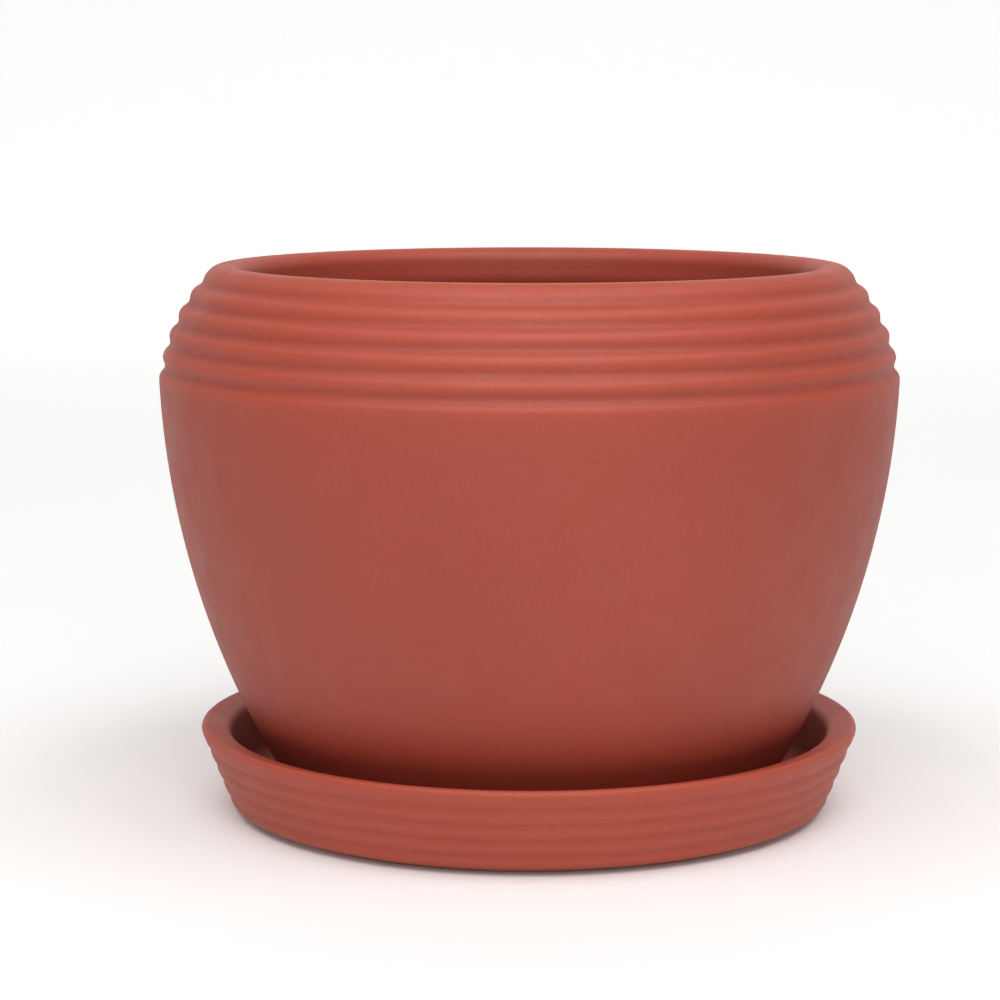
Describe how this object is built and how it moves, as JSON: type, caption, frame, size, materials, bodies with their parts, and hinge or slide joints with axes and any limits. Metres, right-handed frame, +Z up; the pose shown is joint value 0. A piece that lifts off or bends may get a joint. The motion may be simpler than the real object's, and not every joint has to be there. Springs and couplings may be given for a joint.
{
  "type": "plant pot with saucer",
  "caption": "Round ceramic plant pot with turned grooves under its rim, a drainage hole and a loose mesh screen, standing in a grooved saucer.",
  "frame": {"origin": "on the pot's axis, at the level of the surface that the saucer stands on", "axes": "+Z up along the common axis of the pot, the saucer and the screen; the set is round, so X and Y are free"},
  "size_m": [0.2002, 0.2002, 0.1487],
  "materials": {
    "matte_glaze": "matte brick-red glaze over stoneware",
    "screen_plastic": "moulded, slightly rough"
  },
  "bodies": {
    "saucer": {"saucer": "matte_glaze"},
    "pot": {"pot": "matte_glaze"},
    "drain_screen": {"drain_screen": "screen_plastic"}
  },
  "joints": [
    {"name": "pot_lift", "type": "slide", "parent": "saucer", "child": "pot", "axis": [0, 0, 1], "range_m": [0, 0.15]},
    {"name": "screen_lift", "type": "slide", "parent": "pot", "child": "drain_screen", "axis": [0, 0, 1], "range_m": [0, 0.16]}
  ]
}
